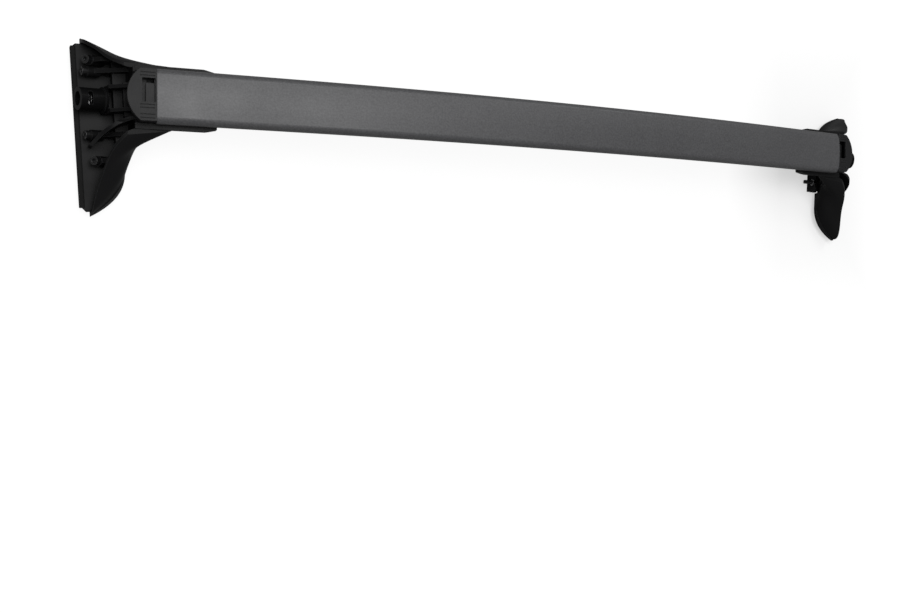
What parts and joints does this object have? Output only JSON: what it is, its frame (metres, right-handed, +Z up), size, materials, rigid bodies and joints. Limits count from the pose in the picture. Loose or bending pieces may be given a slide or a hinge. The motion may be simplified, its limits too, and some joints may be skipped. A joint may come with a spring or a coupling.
{
  "type": "roof rack crossbar",
  "caption": "Arched hollow crossbar for a car's roof rails, on open clamp feet with padded shoes, bolt-drawn jaws, lock barrels and D-shaped end plates.",
  "frame": {"origin": "on the ground under the jaws, midway between the feet and below the bar's centre line", "axes": "+X along the bar, +Y across the bar along the car, +Z up"},
  "size_m": [1.1796, 0.1991, 0.1135],
  "materials": {
    "bar_coat": "satin black powder coat with a fine grain",
    "foot_plastic": "fine-textured black moulding",
    "shoe_plastic": "smooth black moulding",
    "cap_plastic": "smooth black moulding",
    "lock_plastic": "smooth black moulding",
    "black_screw": "glossy black coated steel",
    "steel": "bright stainless",
    "rubber": "matte black rubber",
    "foam": "textured black foam rubber",
    "jaw_paint": "dark grey painted steel"
  },
  "bodies": {
    "bar": {"bar": "bar_coat", "left_nut_plate": "steel", "left_slot_screws": "steel", "left_end_cap": "cap_plastic", "right_nut_plate": "steel", "right_slot_screws": "steel", "right_end_cap": "cap_plastic"},
    "left_foot": {"left_foot": "foot_plastic", "left_shoe": "shoe_plastic", "left_shoe_screws": "black_screw", "left_lip": "rubber", "left_pad": "foam", "left_lock_housing": "lock_plastic", "left_lock_receiver": "steel", "left_front_tie_bolt": "black_screw", "left_rear_tie_bolt": "black_screw"},
    "right_foot": {"right_foot": "foot_plastic", "right_shoe": "shoe_plastic", "right_shoe_screws": "black_screw", "right_lip": "rubber", "right_pad": "foam", "right_lock_housing": "lock_plastic", "right_lock_receiver": "steel", "right_front_tie_bolt": "black_screw", "right_rear_tie_bolt": "black_screw"},
    "left_clamp": {"left_jaw": "jaw_paint", "left_jaw_nuts": "steel"},
    "right_clamp": {"right_jaw": "jaw_paint", "right_jaw_nuts": "steel"}
  },
  "joints": [
    {"name": "left_foot_slide", "type": "slide", "parent": "bar", "child": "left_foot", "axis": [-0.9962, 0, -0.0872], "range_m": [-0.009, 0.009]},
    {"name": "right_foot_slide", "type": "slide", "parent": "bar", "child": "right_foot", "axis": [0.9962, 0, -0.0872], "range_m": [-0.009, 0.009]},
    {"name": "left_clamp_slide", "type": "slide", "parent": "left_foot", "child": "left_clamp", "axis": [-0.9646, -0.0506, 0.2588], "range_m": [-0.012, 0.0045]},
    {"name": "right_clamp_slide", "type": "slide", "parent": "right_foot", "child": "right_clamp", "axis": [0.9646, -0.0506, 0.2588], "range_m": [-0.012, 0.0045]}
  ]
}
